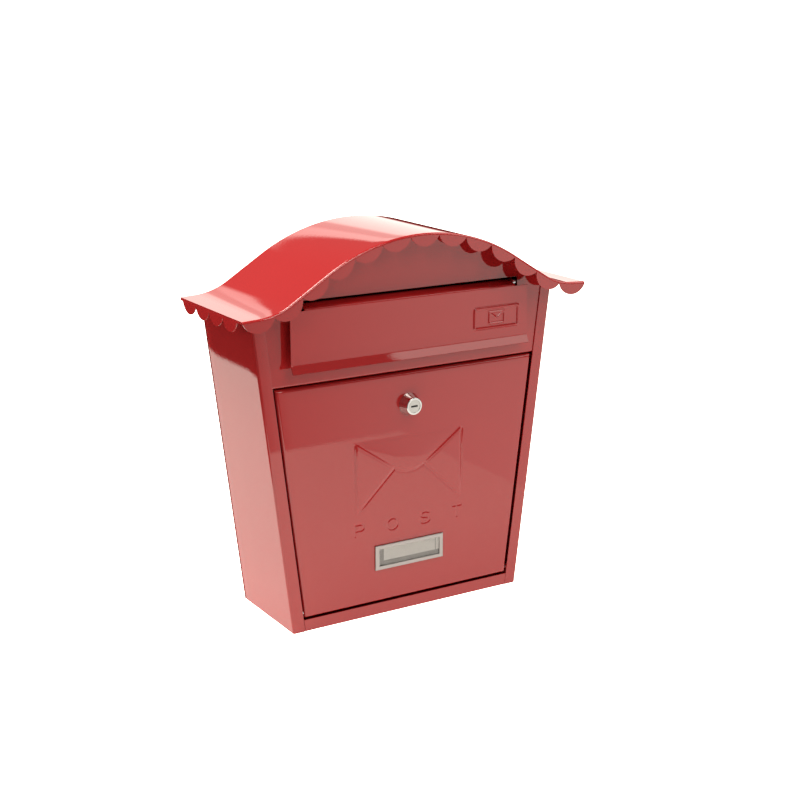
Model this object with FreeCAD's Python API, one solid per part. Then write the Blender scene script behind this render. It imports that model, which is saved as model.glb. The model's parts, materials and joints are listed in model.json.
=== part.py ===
import FreeCAD, Part
import math
import os

# Wall-mounted steel post box with a drop-down front door, a letter flap and a scalloped roof.
# Frame: +X to the right seen from the front, the front faces -Y, +Z up.
# The origin is on the bottom, midway across the width and the depth.

V = FreeCAD.Vector

# Sheet and case
sheet = 1.0                      # thickness of the steel sheet
gap = 0.1                        # space between pieces that are welded or stacked
bend = 2.0                       # outer radius of the visible bends
half_bottom = 124.6              # half width of the case at the bottom
taper = 0.1202                   # growth of the half width per unit of height
case_depth = 102.2
front_flange = 12.4              # width of the side panels' front flanges
rear_flange = 15.0
flange_depth = 12.0              # flanges that carry the roof
flange_low = 250.0               # the roof flanges are kept above this height
side_top = 312.0                 # side panels before the roof line trims them
panel_top = 380.0                # front and back panels before the roof line trims them
tray_gap = 0.3                   # between the tray's front strip and the side flanges

# Roof
roof_half = 180.5
roof_overhang = 26.8             # how far the roof stands out in front of the case
roof_apex = 365.2
crown_radius = 186.9             # convex arc over the middle
slope_angle = math.radians(31.85)
slope_length = 41.7              # straight stretch between the two arcs
eave_radius = 65.6               # concave arc above the eaves
eave_angle = math.radians(3.05)
apron_band = 1.6                 # plain strip above the scallops
front_scallops = 13
side_scallops = 4
scallop_sagitta = 9.8
side_pitch = 28.05               # the side scallops, counted from the roof's back edge
side_scallop_start = 4.8
side_band = 3.0

# Front of the case, measured from the case's front plane
front_y = roof_overhang - (case_depth + roof_overhang) / 2
back_y = front_y + case_depth
panel_y = front_y + sheet + 0.05
panel_bottom = 234.8
panel_return = 14.0
return_inset = 4.0               # the return stops this far inside the case's outer width
keeper_drop = 7.0                # lip behind the door's top edge that the cam holds on to
keeper_half = 132.0
slot_half = 121.0
slot_bottom = 276.0
slot_top = 310.8

# Letter flap and its hinge
flap_half = 126.4
flap_face = 8.4                  # how far the flap's face stands out from the case front
flap_top = 305.5
flap_fold = 255.8
lip_out = 4.7
lip_drop = 6.3
flap_return_half = 112.0
rod_radius = 1.5
rod_half = 119.6
rod_y = front_y + 4.6
rod_z = 305.35
running_gap = 0.1
fold_inner = 1.0                 # inner radius of the flap's folds
bracket_x = 115.0
bracket_thick = 1.2
bracket_depth = 6.0
bracket_low = 288.0
bracket_foot_top = 301.0
bracket_foot = 17.0
bracket_eye = 3.4
push_nut_radius = 2.4
push_nut_cap = 0.8
pad_x = 100.0                    # rubber stop pads
pad_z = 264.0
pad_base = 4.5
pad_tip = 3.6

# Door and its hinge
door_bottom = 13.3
door_top = 233.2
door_side_gap = 1.8
door_bend = 3.0                  # outer radius of the door's front edges
door_depth = 10.0
hinge_y = front_y + 4.0
hinge_z = 17.7
pin_radius = 1.6
pin_head_radius = 2.4
pin_head = 1.2
pin_tail_radius = 2.4
pin_tail = 1.0
pin_head_gap = 1.2              # between the pin's head and the door's side
lug_x = 114.4
lug_thick = 1.6
lug_depth = 9.0
lug_eye = 2.6
lug_foot = 7.4
strip_top = 11.6                 # front edge of the bottom tray

# Cam lock
lock_z = 202.3
bezel_base = 10.9
bezel_face = 8.0
bezel_out = 9.6
barrel_radius = 8.8
barrel_flat = 7.6
barrel_in = 16.4
rim_round = 0.6
plug_radius = 6.2
plug_sunk = 0.4                  # the plug's face lies this far inside the bezel's rim
keyway_half_w = 3.6
keyway_half_h = 0.9
keyway_depth = 11.0
cam_reach = 42.0
cam_thick = 2.0
cam_half_w = 7.0
cam_hub = 9.0
cam_play = 0.1
square_half = 3.6
washer_radius = 12.5
washer_thick = 0.8
nut_half_flats = 12.0
nut_thick = 3.2
cam_washer_radius = 5.5
screw_radius = 2.0
screw_length = 7.0
screw_head_radius = 4.0
screw_head = 2.6
screw_slot = 1.2

# Name plate
plate_z = 57.3
plate_half_w = 37.6
plate_half_h = 12.1
window_half_w = 33.5
window_half_h = 8.5
plate_out = 1.7
plate_round = 0.6
rebate_side = 2.0                # room for the window and the card round the opening
rebate_edge = 1.8
plate_lip = 0.6                  # thickness of the frame in front of the window
window_thick = 0.6
tab_inset = 2.5                  # two tabs through slits in the door, folded over behind it
tab_half_h = 4.0
tab_thick = 1.0
tab_reach = 4.5
slit_gap = 0.2

# Wall fixing holes
wall_hole_radius = 3.5
wall_hole_x = 90.0
wall_hole_low = 50.0
wall_hole_high = 250.0

os.makedirs("parts", exist_ok=True)


def save(name, shape):
    """Write one sub-part, after making sure that its solids are sound."""
    if not shape.isValid():
        shape = shape.removeSplitter()
    print(name, "solids", len(shape.Solids), "valid", shape.isValid(), "volume", round(shape.Volume, 1))
    shape.exportStep("parts/" + name + ".step")


def box(x0, x1, y0, y1, z0, z1):
    return Part.makeBox(x1 - x0, y1 - y0, z1 - z0, V(x0, y0, z0))


def rod_along(axis, radius, length, start):
    return Part.makeCylinder(radius, length, start, axis)


def mirror_x(shape):
    return shape.mirror(V(0, 0, 0), V(1, 0, 0))


def prism_xz(points, y0, y1):
    """A polygon of (x, z) points, pulled from y0 to y1."""
    corners = [V(x, y0, z) for x, z in points]
    face = Part.Face(Part.makePolygon(corners + corners[:1]))
    return face.extrude(V(0, y1 - y0, 0))


def half_width(z):
    return half_bottom + taper * z


def trapezoid(z0, z1, inset, y0, y1):
    """A block between two heights whose ends follow the case's slanted sides."""
    low = half_width(z0) - inset
    high = half_width(z1) - inset
    return prism_xz([(-low, z0), (low, z0), (high, z1), (-high, z1)], y0, y1)


def fillet_where(shape, radius, wanted):
    """Round the edges for which wanted(edge) is true."""
    edges = [edge for edge in shape.Edges if wanted(edge)]
    return shape.makeFillet(radius, edges)


def edge_between(edge, test):
    return all(test(vertex.Point) for vertex in edge.Vertexes)


def sheet_section(points, radii, thickness, x0, x1):
    """Bent sheet: a path of (y, z) points, thickened to its left, with inner bend radii, pulled along X."""
    base = [V(0, y, z) for y, z in points]
    steps = [(b - a).normalize() for a, b in zip(base, base[1:])]
    left = [V(0, -s.z, s.y) for s in steps]
    offset = [base[0] + left[0] * thickness]
    turns = []
    for i in range(1, len(base) - 1):
        middle = (left[i - 1] + left[i]).normalize()
        stretch = thickness / middle.dot(left[i])
        offset.append(base[i] + middle * stretch)
        turns.append(steps[i - 1].cross(steps[i]).x > 0)
    offset.append(base[-1] + left[-1] * thickness)
    base_radii = [r + thickness if left_turn else r for r, left_turn in zip(radii, turns)]
    offset_radii = [r if left_turn else r + thickness for r, left_turn in zip(radii, turns)]
    first = rounded_path(base, base_radii)
    second = rounded_path(offset, offset_radii)
    caps = [Part.makeLine(base[0], offset[0]), Part.makeLine(base[-1], offset[-1])]
    wire = Part.Wire(Part.__sortEdges__(first + second + caps))
    section = Part.Face(wire)
    section.translate(V(x0, 0, 0))
    return section.extrude(V(x1 - x0, 0, 0))


def rounded_path(points, radii):
    """Straight edges joined by tangent arcs."""
    edges = []
    start = points[0]
    for i, radius in enumerate(radii):
        corner = points[i + 1]
        back = (points[i] - corner).normalize()
        ahead = (points[i + 2] - corner).normalize()
        half_angle = back.getAngle(ahead) / 2
        reach = radius / math.tan(half_angle)
        arc_start = corner + back * reach
        arc_end = corner + ahead * reach
        towards = (back + ahead).normalize()
        arc_middle = corner + towards * (radius / math.sin(half_angle) - radius)
        edges.append(Part.makeLine(start, arc_start))
        edges.append(Part.Arc(arc_start, arc_middle, arc_end).toShape())
        start = arc_end
    edges.append(Part.makeLine(start, points[-1]))
    return edges


def roof_points(drop):
    """Right half of the roof line, lowered by drop along its normal: the joints between its stretches."""
    crown = crown_radius - drop
    eave = eave_radius + drop
    crown_z = roof_apex - crown_radius
    a = V(crown * math.sin(slope_angle), 0, crown_z + crown * math.cos(slope_angle))
    b = a + V(math.cos(slope_angle), 0, -math.sin(slope_angle)) * slope_length
    centre = b + V(math.sin(slope_angle), 0, math.cos(slope_angle)) * eave
    c = centre - V(math.sin(eave_angle), 0, math.cos(eave_angle)) * eave
    middle_angle = (slope_angle + eave_angle) / 2
    bc = centre - V(math.sin(middle_angle), 0, math.cos(middle_angle)) * eave
    run = (roof_half - c.x) / math.cos(eave_angle)
    d = c + V(math.cos(eave_angle), 0, -math.sin(eave_angle)) * run
    return a, b, bc, c, d


def roof_line(drop, y):
    """The roof's outline from the left eave to the right eave, as edges in the plane y."""
    a, b, bc, c, d = [p + V(0, y, 0) for p in roof_points(drop)]
    flip = [V(-p.x, p.y, p.z) for p in (a, b, bc, c, d)]
    top = V(0, y, roof_apex - drop)
    right = [Part.makeLine(a, b), Part.Arc(b, bc, c).toShape(), Part.makeLine(c, d)]
    left = [
        Part.makeLine(flip[4], flip[3]),
        Part.Arc(flip[3], flip[2], flip[1]).toShape(),
        Part.makeLine(flip[1], flip[0]),
    ]
    return left + [Part.Arc(flip[0], top, a).toShape()] + right


def roof_strip(drop, thickness, y0, y1):
    """A curved sheet that follows the roof line."""
    upper = roof_line(drop, y0)
    lower = roof_line(drop + thickness, y0)
    ends = [
        Part.makeLine(upper[0].Vertexes[0].Point, lower[0].Vertexes[0].Point),
        Part.makeLine(upper[-1].Vertexes[-1].Point, lower[-1].Vertexes[-1].Point),
    ]
    wire = Part.Wire(Part.__sortEdges__(upper + lower + ends))
    return Part.Face(wire).extrude(V(0, y1 - y0, 0))


def under_roof(drop, y0, y1):
    """Everything below the roof line."""
    upper = roof_line(drop, y0)
    left_end = upper[0].Vertexes[0].Point
    right_end = upper[-1].Vertexes[-1].Point
    low_left = V(left_end.x, y0, -20)
    low_right = V(right_end.x, y0, -20)
    sides = [
        Part.makeLine(left_end, low_left),
        Part.makeLine(low_left, low_right),
        Part.makeLine(low_right, right_end),
    ]
    wire = Part.Wire(Part.__sortEdges__(upper + sides))
    return Part.Face(wire).extrude(V(0, y1 - y0, 0))


def along_roof(distance):
    """Point of the roof line at a signed distance from the apex, and its downward slope angle."""
    side = 1 if distance >= 0 else -1
    s = abs(distance)
    a, b, bc, c, d = roof_points(0)
    crown_length = crown_radius * slope_angle
    eave_length = eave_radius * (slope_angle - eave_angle)
    if s <= crown_length:
        angle = s / crown_radius
        point = V(crown_radius * math.sin(angle), 0, roof_apex - crown_radius * (1 - math.cos(angle)))
    elif s <= crown_length + slope_length:
        angle = slope_angle
        point = a + (b - a).normalize() * (s - crown_length)
    elif s <= crown_length + slope_length + eave_length:
        angle = slope_angle - (s - crown_length - slope_length) / eave_radius
        centre = b + V(math.sin(slope_angle), 0, math.cos(slope_angle)) * eave_radius
        point = centre - V(math.sin(angle), 0, math.cos(angle)) * eave_radius
    else:
        angle = eave_angle
        rest = s - crown_length - slope_length - eave_length
        point = c + V(math.cos(angle), 0, -math.sin(angle)) * rest
    return V(side * point.x, 0, point.z), side * angle


def roof_length():
    """Length of half the roof line."""
    c, d = roof_points(0)[3:]
    curve = crown_radius * slope_angle + eave_radius * (slope_angle - eave_angle)
    return curve + slope_length + c.distanceToPoint(d)


def scallop_disc(start, end, normal, thickness):
    """A disc whose lower part hangs from the chord between two points."""
    half_chord = start.distanceToPoint(end) / 2
    radius = (half_chord ** 2 + scallop_sagitta ** 2) / (2 * scallop_sagitta)
    down = normal.cross((end - start).normalize())
    centre = (start + end) * 0.5 - down * (radius - scallop_sagitta)
    return rod_along(normal, radius, thickness, centre)


def make_front_apron(y0):
    """Scalloped strip below the roof's front edge."""
    pitch = 2 * roof_length() / front_scallops
    apron = roof_strip(0, apron_band, y0, y0 + sheet)
    corners = []
    for i in range(front_scallops + 1):
        point, angle = along_roof(-roof_length() + i * pitch)
        drop = V(math.sin(angle), 0, math.cos(angle)) * apron_band
        corners.append(point - drop + V(0, y0, 0))
    discs = [scallop_disc(a, b, V(0, 1, 0), sheet) for a, b in zip(corners, corners[1:])]
    return apron.fuse(discs).common(under_roof(0, y0, y0 + sheet))


def make_side_apron(y0):
    """Scalloped strip below the right eave."""
    eave_z = roof_points(0)[4].z
    x0 = roof_half - sheet
    low_z = eave_z - side_band
    y_first = back_y - side_scallop_start
    y_last = y_first - side_scallops * side_pitch
    strips = [
        box(x0, roof_half, y_last, back_y, low_z, eave_z - sheet / 2),
        box(x0, roof_half, y0, y_last + 1, eave_z - apron_band - sheet / 2, eave_z - sheet / 2),
    ]
    below = box(x0, roof_half, y0, back_y, 0, low_z + 0.4)
    discs = []
    for i in range(side_scallops):
        start = V(x0, y_first - (i + 1) * side_pitch, low_z)
        end = V(x0, y_first - i * side_pitch, low_z)
        discs.append(scallop_disc(end, start, V(1, 0, 0), sheet).common(below))
    return strips[0].fuse(strips[1:] + discs)


def make_roof():
    y0 = front_y - roof_overhang
    side = make_side_apron(y0)
    roof = roof_strip(0, sheet, y0, back_y)
    roof = roof.fuse([make_front_apron(y0), side, mirror_x(side)]).removeSplitter()
    save("roof", roof)


def make_side_panel():
    """Right side panel with its front and rear flanges; the left one is its mirror image."""
    slant = sheet * math.sqrt(1 + taper ** 2)
    w0 = half_width(0)
    w1 = half_width(side_top)

    def strip(width, y0, y1):
        return prism_xz([(w0 - width, 0), (w0, 0), (w1, side_top), (w1 - width, side_top)], y0, y1)

    y_back = back_y - sheet - gap
    panel = strip(slant, front_y, y_back)
    panel = panel.fuse([
        strip(front_flange, front_y, front_y + sheet),
        strip(rear_flange, y_back - sheet, y_back),
    ]).removeSplitter()

    def outer_corner(p):
        return abs(p.y - front_y) < 0.01 and abs(p.x - half_width(p.z)) < 0.01

    def inner_corner(p):
        return abs(p.y - front_y - sheet) < 0.01 and abs(p.x - half_width(p.z) + slant) < 0.01

    panel = fillet_where(panel, bend, lambda e: edge_between(e, outer_corner))
    panel = fillet_where(panel, bend - sheet, lambda e: edge_between(e, inner_corner))
    panel = panel.common(under_roof(sheet + gap, front_y - 1, back_y + 1))
    save("right_side_panel", panel)
    save("left_side_panel", mirror_x(panel))


def make_back_panel():
    inside = sheet + 2 * gap
    plate = trapezoid(0, panel_top, 0, back_y - sheet, back_y)
    plate = plate.common(under_roof(sheet + gap, back_y - sheet - 1, back_y + 1))
    flange = roof_strip(sheet + gap, sheet, back_y - flange_depth, back_y - sheet)
    keep = trapezoid(flange_low, panel_top, inside + rear_flange, back_y - flange_depth - 1, back_y)
    plate = plate.fuse(flange.common(keep)).removeSplitter()
    for x in (-wall_hole_x, wall_hole_x):
        for z in (wall_hole_low, wall_hole_high):
            hole = rod_along(V(0, 1, 0), wall_hole_radius, 3 * sheet, V(x, back_y - 2 * sheet, z))
            plate = plate.cut(hole)
    save("back_panel", plate)


def make_bottom_tray():
    side_inset = sheet * math.sqrt(1 + taper ** 2) + gap
    behind_flange = front_y + bend + 0.2
    y_end = back_y - 2 * sheet - 2 * gap
    floor_half = half_bottom - side_inset
    strip_half = half_bottom - front_flange - tray_gap
    floor = box(-floor_half, floor_half, behind_flange, y_end, 0, sheet)
    tongue = trapezoid(0, strip_top, front_flange + tray_gap, front_y, front_y + sheet)
    link = box(-strip_half, strip_half, front_y, behind_flange, 0, sheet)
    rear = trapezoid(0, strip_top, side_inset + rear_flange, y_end - sheet, y_end)
    tray = floor.fuse([tongue, link, rear]).removeSplitter()
    low_front = lambda p: abs(p.y - front_y) < 0.01 and abs(p.z) < 0.01
    tray = fillet_where(tray, bend / 2, lambda e: edge_between(e, low_front))
    for side in (-1, 1):
        wall = prism_xz(
            [
                (side * floor_half, 0),
                (side * (floor_half + taper * strip_top), strip_top),
                (side * (floor_half + taper * strip_top - sheet), strip_top),
                (side * (floor_half - sheet), 0),
            ],
            behind_flange,
            y_end - rear_flange,
        )
        tray = tray.fuse(wall)
    save("bottom_tray", tray.removeSplitter())


def make_upper_front_panel():
    side_inset = sheet * math.sqrt(1 + taper ** 2) + gap
    return_half = half_width(panel_bottom) - return_inset
    y1 = panel_y + sheet
    plate = trapezoid(panel_bottom, panel_top, side_inset + bend, panel_y, y1)
    plate = plate.common(under_roof(sheet + gap, panel_y - 1, y1 + 1))
    flange = roof_strip(sheet + gap, sheet, y1, y1 + flange_depth)
    keep = trapezoid(flange_low, panel_top, side_inset + 2 * bend, y1 - 1, y1 + flange_depth)
    keeper_y = front_y + panel_return
    lower = box(-return_half, return_half, panel_y, keeper_y, panel_bottom, panel_bottom + sheet)
    keeper = box(
        -keeper_half, keeper_half, keeper_y - sheet, keeper_y,
        panel_bottom - keeper_drop, panel_bottom + sheet,
    )
    slot = box(-slot_half, slot_half, panel_y - 1, y1 + 1, slot_bottom, slot_top)
    panel = plate.fuse([flange.common(keep), lower, keeper]).cut(slot).removeSplitter()
    low_front = lambda p: abs(p.y - panel_y) < 0.01 and abs(p.z - panel_bottom) < 0.01
    panel = fillet_where(panel, bend, lambda e: edge_between(e, low_front))
    save("upper_front_panel", panel)


def make_letter_flap():
    """Flap with a flared lip below and, above, a return that curls round the hinge rod."""
    face = front_y - flap_face
    curl_inner = rod_radius + running_gap
    curl_outer = curl_inner + sheet
    plate_path = [
        (face, flap_top - bend),
        (face, flap_fold),
        (face - lip_out, flap_fold - lip_drop),
    ]
    plate = sheet_section(plate_path, [fold_inner], sheet, -flap_half, flap_half)
    return_path = [
        (rod_y, rod_z + curl_outer),
        (face, flap_top),
        (face, (flap_fold + flap_top) / 2),
    ]
    top = sheet_section(return_path, [fold_inner], sheet, -flap_return_half, flap_return_half)
    start = V(-flap_return_half, rod_y, rod_z)
    length = 2 * flap_return_half
    curl = rod_along(V(1, 0, 0), curl_outer, length, start)
    flap = plate.fuse([top, curl])
    flap = flap.cut(rod_along(V(1, 0, 0), curl_inner, length + 2, start - V(1, 0, 0)))
    save("letter_flap", flap.removeSplitter())


def make_flap_hinge():
    """Rod across the slot, its two brackets on the back of the panel, and a push nut on each end."""
    rod = rod_along(V(1, 0, 0), rod_radius, 2 * rod_half, V(-rod_half, rod_y, rod_z))
    save("flap_hinge_rod", rod)
    foot_y = panel_y + sheet + gap / 2
    ear_x = bracket_x + bracket_thick
    ear = box(bracket_x, ear_x, foot_y, foot_y + bracket_depth, bracket_low, rod_z)
    eye = rod_along(V(1, 0, 0), bracket_eye, bracket_thick, V(bracket_x, rod_y, rod_z))
    foot_x = bracket_x + bracket_foot
    foot = box(bracket_x, foot_x, foot_y, foot_y + bracket_thick, bracket_low, bracket_foot_top)
    bracket = ear.fuse([eye, foot])
    bracket = bracket.cut(rod_along(V(1, 0, 0), rod_radius, 20, V(bracket_x - 5, rod_y, rod_z)))
    bracket = bracket.removeSplitter()
    save("flap_bracket_right", bracket)
    save("flap_bracket_left", mirror_x(bracket))
    nut_x = ear_x + gap
    nut = rod_along(V(1, 0, 0), push_nut_radius, rod_half - nut_x + push_nut_cap, V(nut_x, rod_y, rod_z))
    nut = nut.cut(rod_along(V(1, 0, 0), rod_radius, rod_half - nut_x, V(nut_x, rod_y, rod_z)))
    save("rod_push_nuts", Part.makeCompound([nut, mirror_x(nut)]))


def make_flap_stop_pads():
    """Soft pads on the panel that the closed flap rests on."""
    length = panel_y - (front_y - flap_face + sheet) - 0.3
    pads = []
    for x in (-pad_x, pad_x):
        pads.append(Part.makeCone(pad_base, pad_tip, length, V(x, panel_y, pad_z), V(0, -1, 0)))
    save("flap_stop_pads", Part.makeCompound(pads))


def make_door():
    """Shallow pan with rounded front edges, open at the back."""
    inset = front_flange + door_side_gap
    block = trapezoid(door_bottom, door_top, inset, front_y, front_y + door_depth)
    on_front = lambda p: abs(p.y - front_y) < 0.01
    block = fillet_where(block, door_bend, lambda e: edge_between(e, on_front))
    back_face = max(block.Faces, key=lambda f: f.CenterOfMass.y)
    door = block.makeThickness([back_face], -sheet, 0.001)
    lock_hole = rod_along(V(0, 1, 0), barrel_radius + gap, 4, V(0, front_y - 1, lock_z))
    flats = box(-barrel_flat - gap, barrel_flat + gap, front_y - 1, front_y + 3, lock_z - 12, lock_z + 12)
    door = door.cut(lock_hole.common(flats))
    door = door.cut(rod_along(V(1, 0, 0), pin_radius + running_gap, 300, V(-150, hinge_y, hinge_z)))
    slit_w = tab_thick / 2 + slit_gap
    slit_h = tab_half_h + slit_gap
    for x in (-plate_half_w + tab_inset, plate_half_w - tab_inset):
        slit = box(x - slit_w, x + slit_w, front_y - 1, front_y + 2, plate_z - slit_h, plate_z + slit_h)
        door = door.cut(slit)
    save("door", door)


def make_door_hinge():
    """On each side a lug on the tray and a shouldered pin through the door's side into the lug."""
    ear_x = lug_x + lug_thick
    ear = box(lug_x, ear_x, hinge_y, hinge_y + lug_depth, sheet, hinge_z + lug_eye)
    eye = rod_along(V(1, 0, 0), lug_eye, lug_thick, V(lug_x, hinge_y, hinge_z))
    foot = box(lug_x, lug_x + lug_foot, hinge_y, hinge_y + lug_depth, sheet, sheet + lug_thick)
    bore = rod_along(V(1, 0, 0), pin_radius, 3 * lug_thick, V(lug_x - lug_thick, hinge_y, hinge_z))
    lug = ear.fuse([eye, foot]).cut(bore).removeSplitter()
    save("door_hinge_lug_right", lug)
    save("door_hinge_lug_left", mirror_x(lug))
    head_x = half_width(hinge_z) - front_flange - door_side_gap - sheet - pin_head_gap
    head = rod_along(V(1, 0, 0), pin_head_radius, pin_head, V(head_x - pin_head, hinge_y, hinge_z))
    shaft = rod_along(V(1, 0, 0), pin_radius, ear_x + pin_tail - head_x, V(head_x, hinge_y, hinge_z))
    tail = rod_along(V(1, 0, 0), pin_tail_radius, pin_tail, V(ear_x, hinge_y, hinge_z))
    pin = head.fuse([shaft, tail]).removeSplitter()
    save("door_hinge_pin_right", pin)
    save("door_hinge_pin_left", mirror_x(pin))


def make_lock():
    """Cam lock: chromed body with a bezel, turning plug, nut and washer, and the cam on the plug's end."""
    into = V(0, 1, 0)
    seat_y = front_y - gap / 2
    bezel = Part.makeCone(bezel_base, bezel_face, bezel_out, V(0, seat_y, lock_z), V(0, -1, 0))
    rim = lambda e: abs(e.CenterOfMass.y - seat_y + bezel_out) < 0.01 and e.Closed
    bezel = fillet_where(bezel, rim_round, rim)
    barrel = rod_along(into, barrel_radius, barrel_in, V(0, seat_y, lock_z))
    flats = box(-barrel_flat, barrel_flat, front_y - 1, front_y + barrel_in, lock_z - 12, lock_z + 12)
    body = bezel.fuse(barrel.common(flats))
    body = body.cut(rod_along(into, plug_radius + running_gap, 60, V(0, front_y - 20, lock_z)))
    save("lock_body", body.removeSplitter())
    plug_front = front_y - bezel_out + plug_sunk
    plug_back = front_y + barrel_in + plug_sunk
    plug = rod_along(into, plug_radius, plug_back - plug_front, V(0, plug_front, lock_z))
    square = box(
        -square_half, square_half, plug_back, plug_back + cam_thick,
        lock_z - square_half, lock_z + square_half,
    )
    keyway = box(
        -keyway_half_w, keyway_half_w, plug_front - 1, plug_front + keyway_depth,
        lock_z - keyway_half_h, lock_z + keyway_half_h,
    )
    screw_hole = rod_along(into, screw_radius, screw_length + cam_thick, V(0, plug_back - 6, lock_z))
    save("lock_plug", plug.fuse(square).cut(keyway).cut(screw_hole).removeSplitter())
    washer_y = front_y + sheet + 0.02
    washer = rod_along(into, washer_radius, washer_thick, V(0, washer_y, lock_z))
    bore = rod_along(into, barrel_radius, 30, V(0, front_y - 5, lock_z))
    save("lock_washer", washer.cut(bore))
    nut_y = washer_y + washer_thick + 0.02
    corner_radius = nut_half_flats / math.cos(math.pi / 6)
    corners = []
    for i in range(6):
        turn = math.radians(60 * i + 30)
        corners.append((corner_radius * math.sin(turn), lock_z + corner_radius * math.cos(turn)))
    save("lock_nut", prism_xz(corners, nut_y, nut_y + nut_thick).cut(bore))
    cam_y = plug_back + 0.02
    thick = cam_thick - cam_play
    tip_x = cam_reach - cam_half_w
    arm = box(0, tip_x, cam_y, cam_y + thick, lock_z - cam_half_w, lock_z + cam_half_w)
    hub = rod_along(into, cam_hub, thick, V(0, cam_y, lock_z))
    tip = rod_along(into, cam_half_w, thick, V(tip_x, cam_y, lock_z))
    hole = box(
        -square_half, square_half, cam_y - 1, cam_y + 4,
        lock_z - square_half, lock_z + square_half,
    )
    save("lock_cam", arm.fuse([hub, tip]).cut(hole).removeSplitter())
    end_y = plug_back + cam_thick
    cam_washer = rod_along(into, cam_washer_radius, washer_thick, V(0, end_y, lock_z))
    save("cam_washer", cam_washer.cut(rod_along(into, screw_radius, 6, V(0, end_y - 1, lock_z))))
    head_y = end_y + washer_thick
    head = rod_along(into, screw_head_radius, screw_head, V(0, head_y, lock_z))
    top_edge = lambda e: abs(e.CenterOfMass.y - head_y - screw_head) < 0.01 and e.Closed
    head = fillet_where(head, 1.0, top_edge)
    shank = rod_along(into, screw_radius, screw_length, V(0, head_y - screw_length, lock_z))
    slot_y = head_y + screw_head - screw_slot
    recess = box(-screw_head, screw_head, slot_y, slot_y + 2, lock_z - 0.5, lock_z + 0.5)
    save("cam_screw", head.fuse(shank).cut(recess).removeSplitter())


def make_name_plate():
    """Frame with two tabs folded behind the door, holding a clear window over a paper card."""
    face = front_y - plate_out
    ring = box(
        -plate_half_w, plate_half_w, face, front_y - 0.02,
        plate_z - plate_half_h, plate_z + plate_half_h,
    )
    in_front = lambda p: abs(p.y - face) < 0.01
    ring = fillet_where(ring, plate_round, lambda e: edge_between(e, in_front))
    view = box(
        -window_half_w, window_half_w, face - 1, front_y,
        plate_z - window_half_h, plate_z + window_half_h,
    )
    rebate_w = window_half_w + rebate_side
    rebate_h = window_half_h + rebate_edge
    behind = face + plate_lip
    rebate = box(-rebate_w, rebate_w, behind, front_y, plate_z - rebate_h, plate_z + rebate_h)
    frame = ring.cut(view).cut(rebate)
    for side in (-1, 1):
        x = side * (plate_half_w - tab_inset)
        low, high = plate_z - tab_half_h, plate_z + tab_half_h
        inner = front_y + sheet + 2 * gap
        tab = box(x - tab_thick / 2, x + tab_thick / 2, behind, inner + tab_thick, low, high)
        outer = x + side * tab_reach
        foot = box(min(x, outer), max(x, outer), inner, inner + tab_thick, low, high)
        frame = frame.fuse([tab, foot])
    save("nameplate_frame", frame.removeSplitter())
    w = plate_half_w - tab_inset - tab_thick / 2 - 3 * gap
    h = rebate_h - 2 * gap
    glass_y = behind + gap / 2
    card_y = glass_y + window_thick + gap / 2
    save("nameplate_window", box(-w, w, glass_y, glass_y + window_thick, plate_z - h, plate_z + h))
    save("name_card", box(-w, w, card_y, front_y - 0.04, plate_z - h, plate_z + h))


make_roof()
make_side_panel()
make_back_panel()
make_bottom_tray()
make_upper_front_panel()
make_letter_flap()
make_flap_hinge()
make_flap_stop_pads()
make_door()
make_door_hinge()
make_lock()
make_name_plate()
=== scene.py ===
import json
import math

import bmesh
import bpy
import numpy as np
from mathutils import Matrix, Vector


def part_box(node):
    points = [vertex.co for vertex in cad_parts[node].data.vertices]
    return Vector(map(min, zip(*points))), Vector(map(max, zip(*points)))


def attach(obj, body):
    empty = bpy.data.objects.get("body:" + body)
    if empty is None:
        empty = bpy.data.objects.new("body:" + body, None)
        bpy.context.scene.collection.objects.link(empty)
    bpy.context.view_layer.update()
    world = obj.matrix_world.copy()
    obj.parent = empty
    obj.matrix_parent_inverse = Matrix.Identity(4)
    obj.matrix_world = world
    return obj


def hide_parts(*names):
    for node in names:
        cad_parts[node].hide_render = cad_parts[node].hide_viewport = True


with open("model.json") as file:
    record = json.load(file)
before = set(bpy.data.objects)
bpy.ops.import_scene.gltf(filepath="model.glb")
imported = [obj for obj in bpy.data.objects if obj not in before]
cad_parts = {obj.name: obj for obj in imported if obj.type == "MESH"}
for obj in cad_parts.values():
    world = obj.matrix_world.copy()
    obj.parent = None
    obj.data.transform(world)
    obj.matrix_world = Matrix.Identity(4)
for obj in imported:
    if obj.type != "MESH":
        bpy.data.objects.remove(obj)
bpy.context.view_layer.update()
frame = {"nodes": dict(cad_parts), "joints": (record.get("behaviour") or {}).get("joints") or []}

# %% [markdown]
# # A sheet-steel post box, red and glossy
# The CAD frame is loaded first and stays as it is. Everything here is measured from it: the boxes of its
# nodes, its joints and its whole size. Lengths are in metres, the front faces -Y and +Z is up.
# The CAD nodes and joints are kept together now.

# %% The frame's own measures
# Points nearer together than CLOSE count as one.
MM = 0.001
SHEET = 1.0 * MM
CLOSE = 0.01 * MM


def hinge(name):
    """Place of a joint in the frame."""
    return Vector(next(j["pos_m"] for j in frame["joints"] if j["name"] == name))


def span(node, axis):
    """Lowest and highest coordinate of a CAD node along one axis (0, 1 or 2)."""
    low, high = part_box(node)
    return low[axis], high[axis]


FRONT = span("left_side_panel", 1)[0]
BACK = span("back_panel", 1)[1]
EAVE_HALF = span("roof", 0)[1]
ROOF_FRONT = span("roof", 1)[0]
APEX = span("roof", 2)[1]
print("case front", round(FRONT, 4), "back", round(BACK, 4), "apex", round(APEX, 4))

# %% [markdown]
# ## Shapes that several pieces share
# The case is narrower at the bottom. Its half width grows evenly with height, so one short function gives
# it anywhere. The roof line is also one function: a wide convex arc over the middle, a straight slope, a
# tighter concave arc and an almost flat eave. Panels below the roof ask the same function where to stop.

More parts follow.
